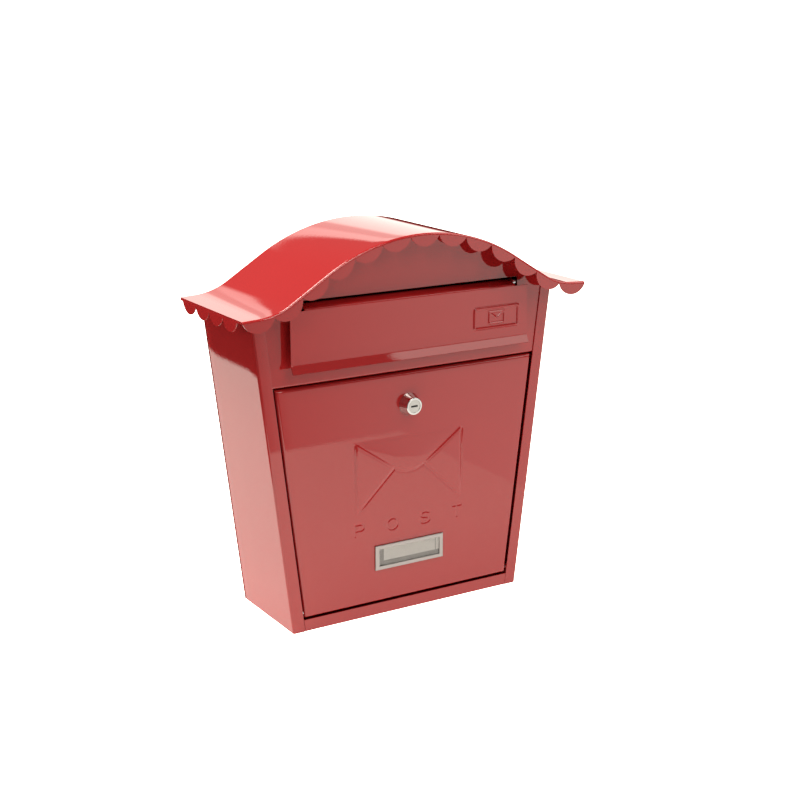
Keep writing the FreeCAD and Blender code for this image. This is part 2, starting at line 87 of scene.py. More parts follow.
# %% Taper of the case
TAPER = 0.1202
BOTTOM_HALF = 124.6 * MM


def half_width(z):
    return BOTTOM_HALF + TAPER * z


# %% The roof line
# From the apex outwards: radius of the crown, angle and length of the slope, radius and angle of the eave.
CROWN_R = 186.9 * MM
SLOPE = math.radians(31.85)
SLOPE_RUN = 41.7 * MM
EAVE_R = 65.6 * MM
EAVE = math.radians(3.05)
CROWN_LEN = CROWN_R * SLOPE
EAVE_LEN = EAVE_R * (SLOPE - EAVE)


def roof_at(s):
    """Point (x, z) on the roof's top face and the slope angle, at a distance s from the apex."""
    side = 1 if s >= 0 else -1
    s = abs(s)
    x1 = CROWN_R * math.sin(SLOPE)
    z1 = APEX - CROWN_R * (1 - math.cos(SLOPE))
    x2 = x1 + SLOPE_RUN * math.cos(SLOPE)
    z2 = z1 - SLOPE_RUN * math.sin(SLOPE)
    if s <= CROWN_LEN:
        angle = s / CROWN_R
        x, z = CROWN_R * math.sin(angle), APEX - CROWN_R * (1 - math.cos(angle))
    elif s <= CROWN_LEN + SLOPE_RUN:
        angle = SLOPE
        rest = s - CROWN_LEN
        x, z = x1 + rest * math.cos(SLOPE), z1 - rest * math.sin(SLOPE)
    else:
        bent = min(s - CROWN_LEN - SLOPE_RUN, EAVE_LEN)
        angle = SLOPE - bent / EAVE_R
        x = x2 + EAVE_R * (math.sin(SLOPE) - math.sin(angle))
        z = z2 - EAVE_R * (math.cos(angle) - math.cos(SLOPE))
        rest = s - CROWN_LEN - SLOPE_RUN - bent
        x, z = x + rest * math.cos(angle), z - rest * math.sin(angle)
    return side * x, z, side * angle


STATIONS = np.arange(0, 200) * MM
ROOF_REACH = float(np.interp(EAVE_HALF, [roof_at(s)[0] for s in STATIONS], STATIONS))


def under_roof(x, drop=SHEET + 0.1 * MM):
    """Height, above a point x, of a line that runs a little below the roof's top face."""
    points = []
    for s in STATIONS:
        px, pz, angle = roof_at(s)
        points.append((px - drop * math.sin(angle), pz - drop * math.cos(angle)))
    return float(np.interp(abs(x), [p[0] for p in points], [p[1] for p in points]))


print("half of the roof's length:", round(ROOF_REACH * 1000, 1), "mm")

# %% [markdown]
# ## From a grid of points to a bent sheet
# Folded steel is easiest to build as a grid: columns go along the piece, rows go round its bends. A small
# helper turns any grid into a mesh, another gives the thickness with Solidify, whose offset of -1 grows
# the wall inwards from the face that is seen. A narrow bevel softens the cut edges, as paint does.

# %% Grid helper
COAT_EDGE = 0.42 * MM


def add_grid(mesh, columns, rows, place, skip):
    """Adds quads to a mesh. place(column, row) gives a point, and skip(i, j) leaves a cell out."""
    points = [[mesh.verts.new(place(c, r)) for c in columns] for r in rows]
    for j in range(len(rows) - 1):
        for i in range(len(columns) - 1):
            if skip and skip(i, j):
                continue
            corners = [points[j][i], points[j][i + 1], points[j + 1][i + 1], points[j + 1][i]]
            mesh.faces.new(corners)
    return points


def drop_loose(mesh):
    loose = [v for v in mesh.verts if not v.link_faces]
    bmesh.ops.delete(mesh, geom=loose, context="VERTS")


def sheet_grid(name, columns, rows, place, skip=None):
    """A sheet made of one grid, with points that fall together joined."""
    mesh = bmesh.new()
    add_grid(mesh, columns, rows, place, skip)
    drop_loose(mesh)
    bmesh.ops.remove_doubles(mesh, verts=mesh.verts, dist=CLOSE)
    return mesh_object(name, mesh)


def mesh_object(name, mesh):
    """A named object in the scene, made from a bmesh."""
    data = bpy.data.meshes.new(name)
    mesh.to_mesh(data)
    mesh.free()
    piece = bpy.data.objects.new(name, data)
    bpy.context.scene.collection.objects.link(piece)
    return piece


def applied(piece):
    """Turns the evaluated piece into a plain mesh, and removes its modifiers."""
    shape = bpy.context.evaluated_depsgraph_get()
    data = bpy.data.meshes.new_from_object(piece.evaluated_get(shape))
    piece.modifiers.clear()
    piece.data = data


def bake(piece, sharp=35):
    """Applies the modifiers, shades smooth between folds, and lets large flat faces keep their normals."""
    applied(piece)
    piece.data.shade_smooth()
    piece.data.set_sharp_from_angle(angle=math.radians(sharp))
    flatness = piece.modifiers.new("flatness", "WEIGHTED_NORMAL")
    flatness.mode = "FACE_AREA"
    flatness.weight = 60
    flatness.keep_sharp = True
    applied(piece)
    return piece


def face_out(piece, towards):
    """Turns an open sheet's faces over if they look away from the side that is seen."""
    facing = sum((Vector(f.normal) * f.area for f in piece.data.polygons), Vector())
    if facing.dot(towards) < 0:
        piece.data.flip_normals()


def thicken(piece, thickness=SHEET, edge=COAT_EDGE):
    """Gives a sheet its thickness, inwards, and rounds its cut edges."""
    wall = piece.modifiers.new("wall", "SOLIDIFY")
    wall.thickness = thickness
    wall.offset = -1
    if edge:
        soft = piece.modifiers.new("edge", "BEVEL")
        soft.width = edge
        soft.segments = 2
        soft.limit_method = "ANGLE"
        soft.angle_limit = math.radians(50)
    return bake(piece)


def dress(piece, material, body, replaced):
    """The finish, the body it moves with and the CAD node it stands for."""
    piece.data.materials.clear()
    piece.data.materials.append(material)
    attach(piece, body)
    if replaced:
        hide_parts(*replaced)
    print(piece.name, "faces", len(piece.data.polygons))
    return piece


def lines(*stops):
    """Evenly spaced values between stops: lines(0, (1, 4), (2, 2)) goes to 1 in 4 steps, then to 2 in 2."""
    values = [stops[0]]
    for end, steps in stops[1:]:
        start = values[-1]
        values += [start + (end - start) * (k + 1) / steps for k in range(steps)]
    return values


def fold(radius, steps=5):
    """A quarter bend: how far it is still from the edge, and how far back, at each step."""
    turns = [math.pi / 2 * k / steps for k in range(steps + 1)]
    return [(radius - radius * math.sin(a), radius - radius * math.cos(a)) for a in turns]

# %% [markdown]
# ## Node groups
# Two effects come back in most finishes. Powder coat never dries quite flat: its skin has a soft ripple a
# few millimetres long, called orange peel, and a fine grain. Turned or drawn metal has thin marks. Each
# effect is one node group with named inputs, so every material sets its own values.

# %% Group builder
def start_group(name, inputs, outputs):
    group = bpy.data.node_groups.new(name, "ShaderNodeTree")
    for label, value in inputs:
        socket = group.interface.new_socket(label, in_out="INPUT", socket_type="NodeSocketFloat")
        socket.default_value = value
    for label, kind in outputs:
        group.interface.new_socket(label, in_out="OUTPUT", socket_type=kind)
    enter = group.nodes.new("NodeGroupInput")
    leave = group.nodes.new("NodeGroupOutput")
    return group, enter, leave


def math_node(nodes, links, operation, first, second=None):
    node = nodes.new("ShaderNodeMath")
    node.operation = operation
    for socket, value in zip(node.inputs, (first, second)):
        if value is None:
            continue
        if isinstance(value, (int, float)):
            socket.default_value = value
        else:
            links.new(value, socket)
    return node.outputs[0]


# %% Orange peel
def make_orange_peel():
    inputs = [("Ripple scale", 600.0), ("Ripple", 1.0), ("Grain scale", 2600.0), ("Grain", 0.12)]
    group, enter, leave = start_group("Orange peel", inputs, [("Height", "NodeSocketFloat")])
    nodes, links = group.nodes, group.links
    place = nodes.new("ShaderNodeTexCoord")
    ripple = nodes.new("ShaderNodeTexNoise")
    ripple.inputs["Detail"].default_value = 1.0
    grain = nodes.new("ShaderNodeTexNoise")
    grain.inputs["Detail"].default_value = 2.0
    for noise, scale in ((ripple, "Ripple scale"), (grain, "Grain scale")):
        links.new(place.outputs["Object"], noise.inputs["Vector"])
        links.new(enter.outputs[scale], noise.inputs["Scale"])
    soft = math_node(nodes, links, "MULTIPLY", ripple.outputs[0], enter.outputs["Ripple"])
    fine = math_node(nodes, links, "MULTIPLY", grain.outputs[0], enter.outputs["Grain"])
    total = math_node(nodes, links, "ADD", soft, fine)
    links.new(total, leave.inputs["Height"])
    return group


ORANGE_PEEL = make_orange_peel()


# %% Clouded tone
def make_clouded_tone():
    inputs = [("Scale", 9.0), ("Amount", 0.06), ("Speck scale", 900.0), ("Speck", 0.03)]
    group, enter, leave = start_group("Clouded tone", inputs, [("Tone", "NodeSocketFloat")])
    nodes, links = group.nodes, group.links
    place = nodes.new("ShaderNodeTexCoord")
    total = 1.0
    for scale, amount in (("Scale", "Amount"), ("Speck scale", "Speck")):
        noise = nodes.new("ShaderNodeTexNoise")
        links.new(place.outputs["Object"], noise.inputs["Vector"])
        links.new(enter.outputs[scale], noise.inputs["Scale"])
        centred = math_node(nodes, links, "SUBTRACT", noise.outputs[0], 0.5)
        part = math_node(nodes, links, "MULTIPLY", centred, enter.outputs[amount])
        total = math_node(nodes, links, "ADD", part, total)
    links.new(total, leave.inputs["Tone"])
    return group


CLOUDED_TONE = make_clouded_tone()

# %% [markdown]
# ## Finishes
# The paint is a deep red under a clear gloss. Its colour is low in green and blue, so that the white glare
# of a studio turns it pink only where it mirrors something bright. The lock is chrome and satin nickel,
# the name plate satin aluminium, and the small parts inside are zinc plated.


# %% Material builder
def start_material(name, colour, roughness, metallic=0.0):
    material = bpy.data.materials.new(name)
    material.use_nodes = True
    shader = material.node_tree.nodes["Principled BSDF"]
    shader.inputs["Base Color"].default_value = (*colour, 1)
    shader.inputs["Roughness"].default_value = roughness
    shader.inputs["Metallic"].default_value = metallic
    return material, shader


def use_group(material, group, **values):
    node = material.node_tree.nodes.new("ShaderNodeGroup")
    node.node_tree = group
    for label, value in values.items():
        node.inputs[label.replace("_", " ")].default_value = value
    return node.outputs[0]


def add_relief(material, shader, height, distance):
    bump = material.node_tree.nodes.new("ShaderNodeBump")
    bump.inputs["Strength"].default_value = 1.0
    bump.inputs["Distance"].default_value = distance
    material.node_tree.links.new(height, bump.inputs["Height"])
    material.node_tree.links.new(bump.outputs["Normal"], shader.inputs["Normal"])


def add_tone(material, shader, colour, tone):
    """Base colour times a slowly changing tone."""
    tint = material.node_tree.nodes.new("ShaderNodeVectorMath")
    tint.operation = "SCALE"
    tint.inputs[0].default_value = colour
    material.node_tree.links.new(tone, tint.inputs["Scale"])
    material.node_tree.links.new(tint.outputs[0], shader.inputs["Base Color"])


# %% Red powder coat
RED = (0.36, 0.014, 0.015)


def make_red_coat():
    material, shader = start_material("red_powder_coat", RED, 0.012)
    shader.inputs["IOR"].default_value = 1.6
    tone = use_group(material, CLOUDED_TONE, Scale=7.0, Amount=0.10, Speck=0.05)
    add_tone(material, shader, RED, tone)
    peel = use_group(material, ORANGE_PEEL)
    add_relief(material, shader, peel, 0.007 * MM)
    return material


RED_COAT = make_red_coat()


# %% Metals
def make_metal(name, colour, roughness, scale, relief):
    material, shader = start_material(name, colour, roughness, 1.0)
    tone = use_group(material, CLOUDED_TONE, Scale=60.0, Amount=0.12)
    add_tone(material, shader, colour, tone)
    marks = use_group(material, ORANGE_PEEL, Ripple_scale=scale, Ripple=1.0, Grain_scale=scale * 5)
    add_relief(material, shader, marks, relief)
    return material


CHROME = make_metal("lock_chrome", (0.62, 0.60, 0.59), 0.09, 300.0, 0.004 * MM)
NICKEL = make_metal("lock_nickel", (0.50, 0.48, 0.46), 0.25, 900.0, 0.006 * MM)
ZINC = make_metal("zinc_plated_steel", (0.66, 0.67, 0.70), 0.28, 1200.0, 0.01 * MM)
ALUMINIUM = make_metal("satin_aluminium", (0.36, 0.325, 0.32), 0.38, 1500.0, 0.008 * MM)


# %% Window, card and rubber
def make_window():
    material, shader = start_material("clear_window", (0.95, 0.96, 0.96), 0.05)
    shader.inputs["Transmission Weight"].default_value = 1.0
    shader.inputs["IOR"].default_value = 1.3
    return material


def make_plain(name, colour, roughness, relief):
    material, shader = start_material(name, colour, roughness)
    tone = use_group(material, CLOUDED_TONE, Scale=80.0, Amount=0.08, Speck=0.06)
    add_tone(material, shader, colour, tone)
    fibres = use_group(material, ORANGE_PEEL, Ripple_scale=1500.0, Grain=0.5)
    add_relief(material, shader, fibres, relief)
    return material


WINDOW = make_window()
CARD = make_plain("paper_card", (0.66, 0.60, 0.57), 0.7, 0.02 * MM)
# The tray's darker grey is painted shade: it stands for the shade in the name plate's recess.
SHADE_TRAY = make_plain("painted_shade_tray", (0.32, 0.28, 0.27), 0.5, 0.01 * MM)
RUBBER = make_plain("pad_rubber", (0.02, 0.02, 0.02), 0.75, 0.03 * MM)

# %% [markdown]
# ## Roof with its scalloped edge
# On the real box the roof is one sheet, rolled to shape, whose edges are cut into scallops and folded
# down. The scallops follow a rule: an arc repeats along the edge, at a steady pitch. So the sheet is a
# grid whose last rows all start on the fold line, and a Geometry Nodes tree pulls them down by the arc's
# drop. The tree reads three attributes of the grid: how far along the edge a point is, how much of the
# drop it takes, and the direction in which it hangs.

# %% Scallop tree
# A plain band runs under the fold, and each scallop hangs DROP below the band.
FRONT_COUNT = 13
FRONT_PITCH = 2 * ROOF_REACH / FRONT_COUNT
SIDE_COUNT = 4
SIDE_PITCH = 28.05 * MM
SIDE_START = 4.8 * MM
FRONT_BAND = 1.6 * MM
SIDE_BAND = 3.0 * MM
DROP = 9.8 * MM


def make_scallop_tree():
    tree = bpy.data.node_groups.new("Scalloped edge", "GeometryNodeTree")
    face = tree.interface
    face.new_socket("Sheet", in_out="INPUT", socket_type="NodeSocketGeometry")
    for label in ("Pitch", "Drop"):
        face.new_socket(label, in_out="INPUT", socket_type="NodeSocketFloat")
    face.new_socket("Finish", in_out="INPUT", socket_type="NodeSocketMaterial")
    face.new_socket("Sheet", in_out="OUTPUT", socket_type="NodeSocketGeometry")
    nodes, links = tree.nodes, tree.links
    enter = nodes.new("NodeGroupInput")
    leave = nodes.new("NodeGroupOutput")

    def attribute(name, kind):
        node = nodes.new("GeometryNodeInputNamedAttribute")
        node.data_type = kind
        node.inputs["Name"].default_value = name
        return node.outputs["Attribute"]

    def calc(operation, a, b=None):
        return math_node(nodes, links, operation, a, b)

    pitch, drop = enter.outputs["Pitch"], enter.outputs["Drop"]
    turns = calc("DIVIDE", attribute("along", "FLOAT"), pitch)
    across = calc("MULTIPLY", calc("SUBTRACT", calc("FRACT", turns), 0.5), pitch)
    half = calc("MULTIPLY", pitch, 0.5)
    squares = calc("ADD", calc("MULTIPLY", half, half), calc("MULTIPLY", drop, drop))
    radius = calc("DIVIDE", squares, calc("MULTIPLY", drop, 2.0))
    under = calc("SUBTRACT", calc("MULTIPLY", radius, radius), calc("MULTIPLY", across, across))
    arc = calc("SUBTRACT", calc("SQRT", calc("MAXIMUM", under, 0.0)), calc("SUBTRACT", radius, drop))
    amount = calc("MULTIPLY", calc("MAXIMUM", arc, 0.0), attribute("share", "FLOAT"))
    hang = nodes.new("ShaderNodeVectorMath")
    hang.operation = "SCALE"
    links.new(attribute("hang", "FLOAT_VECTOR"), hang.inputs[0])
    links.new(amount, hang.inputs["Scale"])
    move = nodes.new("GeometryNodeSetPosition")
    links.new(enter.outputs["Sheet"], move.inputs["Geometry"])
    links.new(hang.outputs[0], move.inputs["Offset"])
    real = nodes.new("GeometryNodeRealizeInstances")
    links.new(move.outputs[0], real.inputs[0])
    finish = nodes.new("GeometryNodeSetMaterial")
    links.new(real.outputs[0], finish.inputs["Geometry"])
    links.new(enter.outputs["Finish"], finish.inputs["Material"])
    links.new(finish.outputs[0], leave.inputs["Sheet"])
    return tree


SCALLOPS = make_scallop_tree()


def add_scallops(piece, pitch):
    """Adds the tree, and sets its inputs by identifier before the piece is first evaluated."""
    edge = piece.modifiers.new("scallops", "NODES")
    edge.node_group = SCALLOPS
    values = {"Pitch": pitch, "Drop": DROP, "Finish": RED_COAT}
    for item in SCALLOPS.interface.items_tree:
        if item.in_out == "INPUT" and item.name in values:
            edge[item.identifier] = values[item.name]


# %% Roof sheet
ROOF_BEND = 2.0 * MM
SCALLOP_STEPS = 24
SEAM = 0.1 * MM


def arc_stations(count, pitch, start):
    """Places along an edge, closer together near the points between two scallops."""
    places = [start]
    for k in range(count):
        for n in range(1, SCALLOP_STEPS + 1):
            share = (1 - math.cos(math.pi * n / SCALLOP_STEPS)) / 2
            places.append(start + (k + share) * pitch)
    return places


def add_attributes(piece, table):
    """Stores along, share and hang, which table(point) gives for each vertex."""
    along = piece.data.attributes.new("along", "FLOAT", "POINT")
    share = piece.data.attributes.new("share", "FLOAT", "POINT")
    hang = piece.data.attributes.new("hang", "FLOAT_VECTOR", "POINT")
    for vertex in piece.data.vertices:
        a, b, c = table(vertex.co)
        along.data[vertex.index].value = a
        share.data[vertex.index].value = b
        hang.data[vertex.index].vector = c


def make_front_sheet():
    """The roof's top face, its front fold and the front apron, from the back edge to the apron's foot."""
    columns = arc_stations(FRONT_COUNT, FRONT_PITCH, -ROOF_REACH)
    rows = [("top", y) for y in lines(BACK, (ROOF_FRONT + ROOF_BEND, 12))]
    rows += [("bend", k / 5) for k in range(1, 6)]
    rows += [("apron", k / 4) for k in range(1, 5)]
    known = {}

    def place(s, row):
        x, z, angle = roof_at(s)
        normal = Vector((math.sin(angle), 0, math.cos(angle)))
        point = Vector((x, 0, z))
        kind, value = row
        if kind == "top":
            point.y = value
            down = 0.0
        elif kind == "bend":
            turn = value * math.pi / 2
            point.y = ROOF_FRONT + ROOF_BEND - ROOF_BEND * math.sin(turn)
            down = ROOF_BEND * (1 - math.cos(turn))
        else:
            point.y = ROOF_FRONT
            down = ROOF_BEND + value * SEAM
        point -= normal * down
        share = value if kind == "apron" else 0.0
        known[tuple(round(c, 7) for c in point)] = (s + ROOF_REACH, share, -normal)
        return point

    piece = sheet_grid("roof_sheet", columns, rows, place)

    def table(co):
        key = tuple(round(c, 7) for c in co)
        return known.get(key) or min(known.items(), key=lambda k: (Vector(k[0]) - co).length)[1]

    add_attributes(piece, table)
    face_out(piece, Vector((0, 0, 1)))
    add_scallops(piece, FRONT_PITCH)
    return piece


roof_sheet = make_front_sheet()
thicken(roof_sheet)
dress(roof_sheet, RED_COAT, "case", ["roof"])

# %% Side aprons
def make_side_apron(side):
    """Folded strip with four scallops under one eave."""
    tip_z, tip_angle = roof_at(ROOF_REACH)[1:]
    corner = tip_z + ROOF_BEND * math.tan(tip_angle)
    last = BACK - SIDE_START - SIDE_COUNT * SIDE_PITCH
    places = lines(ROOF_FRONT + ROOF_BEND, (last, 3))[:-1]
    places += arc_stations(SIDE_COUNT, SIDE_PITCH, last)
    places += [BACK - SIDE_START / 2, BACK]
    rows = [("bend", k / 5) for k in range(6)] + [("apron", k / 4) for k in range(5)]

    def place(y, row):
        kind, value = row
        band = SIDE_BAND if y > last - 0.2 * MM else FRONT_BAND
        turn = value * math.pi / 2
        if kind == "bend":
            out = ROOF_BEND * math.sin(turn)
            down = ROOF_BEND * (1 - math.cos(turn))
        else:
            out = ROOF_BEND
            down = ROOF_BEND + value * max(band - ROOF_BEND, SEAM)
        x = EAVE_HALF - ROOF_BEND + out
        return Vector((side * x, y, corner - down))

    piece = sheet_grid("eave_" + ("right" if side > 0 else "left"), places, rows, place)
    fold_end = corner - ROOF_BEND

    def table(co):
        scalloped = last - CLOSE < co.y < BACK - SIDE_START + CLOSE
        below = (fold_end - co.z) / max(SIDE_BAND - ROOF_BEND, SEAM)
        share = min(max(below, 0.0), 1.0) if scalloped else 0.0
        return co.y - last, share, Vector((0, 0, -1))

    add_attributes(piece, table)
    face_out(piece, Vector((side, 0, 0)))
    add_scallops(piece, SIDE_PITCH)
    return piece


for side in (-1, 1):
    apron = make_side_apron(side)
    thicken(apron)
    dress(apron, RED_COAT, "case", ["roof"])

# %% [markdown]
# ## Case sides
# Each side is one sheet with a fold at the front, which makes the narrow flange beside the door, and a
# fold at the back. Seen from above its outline is a path, so the path gives the grid's columns and height
# gives its rows. The top row stops just under the roof.

# %% Side panels
SIDE_BEND = 2.0 * MM
FLANGE = 12.4 * MM
REAR_FLANGE = 15.0 * MM
EAVE_HEIGHT = roof_at(ROOF_REACH)[1]


def make_side(side):
    """The path holds (distance from the outer face, y) and runs from the rear flange to the front one."""
    rear = span("right_side_panel", 1)[1]
    flat = rear - FRONT - 2 * SIDE_BEND
    path = [(REAR_FLANGE, rear), (SIDE_BEND, rear)]
    path += [(inset, rear - back) for inset, back in fold(SIDE_BEND)[1:]]
    path += [(0.0, FRONT + SIDE_BEND + flat * (1 - k / 6)) for k in range(1, 6)]
    path += [(inset, FRONT + back) for inset, back in reversed(fold(SIDE_BEND))]
    path += [(FLANGE, FRONT)]
    heights = [k / 16 for k in range(17)]

    def place(point, share):
        inset, y = point
        z = share * under_roof(half_width(EAVE_HEIGHT) - inset)
        return Vector((side * (half_width(z) - inset), y, z))

    piece = sheet_grid(("right" if side > 0 else "left") + "_side", path, heights, place)
    face_out(piece, Vector((side, 0, 0)))
    return piece


for side, node in ((-1, "left_side_panel"), (1, "right_side_panel")):
    wall = make_side(side)
    thicken(wall)
    dress(wall, RED_COAT, "case", [node])

# %% [markdown]
# ## Bent paths
# The panel above the door and the letter flap are both long strips with the same bends from end to end.
# Their section is a short path of (y, z) corners. This helper rounds the corners with arcs and says where
# each point came from, so that holes and narrower stretches can be left out later by name.

# %% Rounded section
BEND_STEPS = 6


def bent_path(corners, radii, steps):
    """Points along a path with rounded corners. steps holds the number of cells of each straight run."""
    spots = [Vector((0, y, z)) for y, z in corners]
    rows = []
    start = spots[0]
    for i, spot in enumerate(spots[1:], 1):
        last = i == len(spots) - 1
        reach = 0.0
        if not last:
            back = (spots[i - 1] - spot).normalized()
            ahead = (spots[i + 1] - spot).normalized()
            half_turn = back.angle(ahead) / 2
            reach = radii[i - 1] / math.tan(half_turn)
        end = spot - (spot - spots[i - 1]).normalized() * reach
        count = steps[i - 1]
        rows += [(f"run{i}", *start.lerp(end, k / count).yz) for k in range(count + 1)]
        if last:
            break
        centre = spot + (back + ahead).normalized() * (radii[i - 1] / math.sin(half_turn))
        first, final = end - centre, spot + ahead * reach - centre
        turn = first.angle(final)
        for k in range(1, BEND_STEPS):
            share = k / BEND_STEPS
            arm = (first * math.sin((1 - share) * turn) + final * math.sin(share * turn)) / math.sin(turn)
            rows.append((f"bend{i}", *(centre + arm).yz))
        start = centre + final
    return rows

# %% [markdown]
# ## Panel above the door
# This panel closes the gable. Letters go in through its slot. Its upper edge is folded back under the roof
# and its lower edge is folded back and down, so that the lock's cam has something to catch. The slot is a
# block of cells left out of the grid.

# %% Upper panel
PANEL_Y = span("upper_front_panel", 1)[0]
PANEL_LOW = 234.8 * MM
PANEL_SIDE = 3.2 * MM
PLATE_FOOT = 255.0 * MM
FOLD_START = 250.0 * MM
SLOT_HALF = 121.0 * MM
SLOT_LOW = 276.0 * MM
SLOT_HIGH = 310.8 * MM
ROOF_FLANGE = 12.0 * MM
KEEPER_HALF = 132.0 * MM
KEEPER_BACK = 13.0 * MM
KEEPER_DROP = 7.0 * MM


def panel_columns():
    """Columns 0 to 1 across the slot's half, and 1 to 2 from there to the slanted side."""
    return lines(-2.0, (-1.0, 6), (1.0, 40), (2.0, 6))


def panel_x(column, edge):
    share = abs(column)
    across = share * SLOT_HALF if share <= 1 else SLOT_HALF + (share - 1) * (edge - SLOT_HALF)
    return math.copysign(across, column)


def make_upper_panel():
    rows = [("flange", k / 3) for k in range(3)] + [("gable", k / 8) for k in range(8)]
    rows += [("plate", z) for z in (SLOT_HIGH, SLOT_LOW, PLATE_FOOT)]
    low = [(PANEL_Y, FOLD_START), (PANEL_Y, PANEL_LOW), (PANEL_Y + KEEPER_BACK, PANEL_LOW)]
    rows += bent_path(low, [SIDE_BEND], [3, 4])

    def place(column, row):
        kind = row[0]
        if kind in ("flange", "gable") or row == ("plate", SLOT_HIGH):
            x = panel_x(column, half_width(EAVE_HEIGHT) - PANEL_SIDE)
            top = under_roof(x)
            foot = min(SLOT_HIGH, top - 3 * MM)
            back = ROOF_FLANGE * (1 - row[1]) if kind == "flange" else 0.0
            fall = {"flange": 0.0, "gable": row[1], "plate": 1.0}[kind]
            return Vector((x, PANEL_Y + back, top + fall * (foot - top)))
        y, z = (PANEL_Y, row[1]) if kind == "plate" else row[1:]
        return Vector((panel_x(column, half_width(z) - PANEL_SIDE), y, z))

    columns = panel_columns()
    slot_row = rows.index(("plate", SLOT_HIGH))
    in_slot = lambda i, j: j == slot_row and abs(columns[i] + columns[i + 1]) < 2
    return sheet_grid("upper_panel", columns, rows, place, in_slot)


def make_keeper():
    """Lip behind the door's top edge, for the cam."""
    y = PANEL_Y + KEEPER_BACK
    rows = lines(PANEL_LOW, (PANEL_LOW - KEEPER_DROP, 3))
    columns = lines(-KEEPER_HALF, (KEEPER_HALF, 12))
    return sheet_grid("keeper_lip", columns, rows, lambda x, z: Vector((x, y, z)))


for piece in (make_upper_panel(), make_keeper()):
    face_out(piece, Vector((0, -1, 0)))
    thicken(piece)
    dress(piece, RED_COAT, "case", ["upper_front_panel"])

# %% [markdown]
# ## Relief pressed into a sheet
# The envelope and the word on the door, and the small frame on the flap, are pressed into the steel. A
# press tool works in heights, and so does this: each relief is a function that gives the height at a
# point (x, z), and the grid is fine only where it has something to say. Strokes are lines and arcs, and
# a stroke's height falls off smoothly with the distance from its middle.

# %% Distances and soft steps
def soft_step(value, low, high):
    t = np.clip((value - low) / (high - low), 0.0, 1.0)
    return t * t * (3 - 2 * t)


def line_distance(x, z, start, end):
    """Distance from points to a straight stroke."""
    (ax, az), (bx, bz) = start, end
    dx, dz = bx - ax, bz - az
    t = np.clip(((x - ax) * dx + (z - az) * dz) / (dx * dx + dz * dz), 0.0, 1.0)
    return np.hypot(x - ax - t * dx, z - az - t * dz)


def arc_distance(x, z, centre, radius, first, last):
    """Distance from points to an arc between two angles, in degrees."""
    cx, cz = centre
    turn = np.mod(np.degrees(np.arctan2(z - cz, x - cx)) - first, 360.0)
    ring = np.abs(np.hypot(x - cx, z - cz) - radius)
    ends = []
    for angle in np.radians([first, last]):
        ends.append(np.hypot(x - cx - radius * math.cos(angle), z - cz - radius * math.sin(angle)))
    return np.where(turn <= last - first, ring, np.minimum(*ends))


def stroke_height(distance, width, height, flank):
    return height * (1 - soft_step(distance, width / 2 - flank / 2, width / 2 + flank / 2))

# %% Pressing a relief
def press(piece, plane, height):
    """Moves the vertices that lie in the front plane y = plane forward by height(x, z)."""
    count = len(piece.data.vertices)
    flat = np.empty(count * 3)
    piece.data.vertices.foreach_get("co", flat)
    points = flat.reshape(count, 3)
    in_plane = np.abs(points[:, 1] - plane) < CLOSE
    rise = height(points[:, 0], points[:, 2])
    points[in_plane, 1] -= rise[in_plane]
    piece.data.vertices.foreach_set("co", points.ravel())
    piece.data.update()
    print(piece.name, "relief up to", round(float(rise[in_plane].max()) * 1000, 2), "mm")

# %% [markdown]
# ## Letter flap
# The flap hangs in front of the slot. Its lower edge is turned out as a finger grip, and a narrower return
# at the top curls round the hinge rod. All of it rides on the flap, so the curl turns round the rod when
# the flap opens. On its right it carries a small pressed frame, filled here with a plain little envelope.

# %% Flap measures
FLAP_Y = FRONT - 8.4 * MM
FLAP_TIP = span("letter_flap", 2)[0]
FLAP_HALF = span("letter_flap", 0)[1]
FLAP_TOP = 305.5 * MM
FLAP_FOLD = 255.8 * MM
FLAP_REACH = span("letter_flap", 1)[0] + 0.55 * MM
LIP_BEND, RETURN_BEND = 1.5 * MM, 2.0 * MM
RETURN_HALF = 112.0 * MM
ROD = hinge("flap_hinge")
CURL_R = 2.6 * MM
CURL_STEPS, CURL_STEP = 15, math.radians(19)
BADGE_START = 62.0 * MM
print("flap rod at", [round(v * 1000, 2) for v in ROD])


# %% Flap sheet
def flap_columns():
    """Places across the flap, closer together behind the frame."""
    return lines(-FLAP_HALF, (-RETURN_HALF, 4), (BADGE_START, 24), (RETURN_HALF, 90), (FLAP_HALF, 15))


def make_flap():
    corners = [(FLAP_REACH, FLAP_TIP), (FLAP_Y, FLAP_FOLD), (FLAP_Y, FLAP_TOP), (ROD.y, ROD.z + CURL_R)]
    rows = bent_path(corners, [LIP_BEND, RETURN_BEND], [5, 84, 5])
    for k in range(1, CURL_STEPS + 1):
        angle = math.pi / 2 - CURL_STEP * k
        rows.append(("curl", ROD.y + CURL_R * math.cos(angle), ROD.z + CURL_R * math.sin(angle)))
    columns = flap_columns()
    narrow = [row[0] in ("bend2", "run3", "curl") for row in rows]

    def skip(i, j):
        outside = abs(columns[i] + columns[i + 1]) / 2 > RETURN_HALF
        return outside and (narrow[j] or narrow[j + 1])

    return sheet_grid("letter_flap_sheet", columns, rows, lambda x, row: Vector((x, *row[1:])), skip)


# %% Frame and envelope on the flap
# Widths, heights and flanks belong to the frame's line and to the thinner lines of the envelope in it.
BADGE_X, BADGE_Z = 91.0 * MM, 276.25 * MM
BADGE_HALF_W, BADGE_HALF_H = 25.5 * MM, 10.45 * MM
BADGE_CORNER = 1.5 * MM
BADGE_LINE, BADGE_RISE, BADGE_FLANK = 2.0 * MM, 1.0 * MM, 0.8 * MM
ICON_HALF_W, ICON_HALF_H, ICON_TIP = 8.5 * MM, 5.4 * MM, 0.8 * MM
ICON_LINE, ICON_RISE, ICON_FLANK = 1.2 * MM, 0.8 * MM, 0.7 * MM


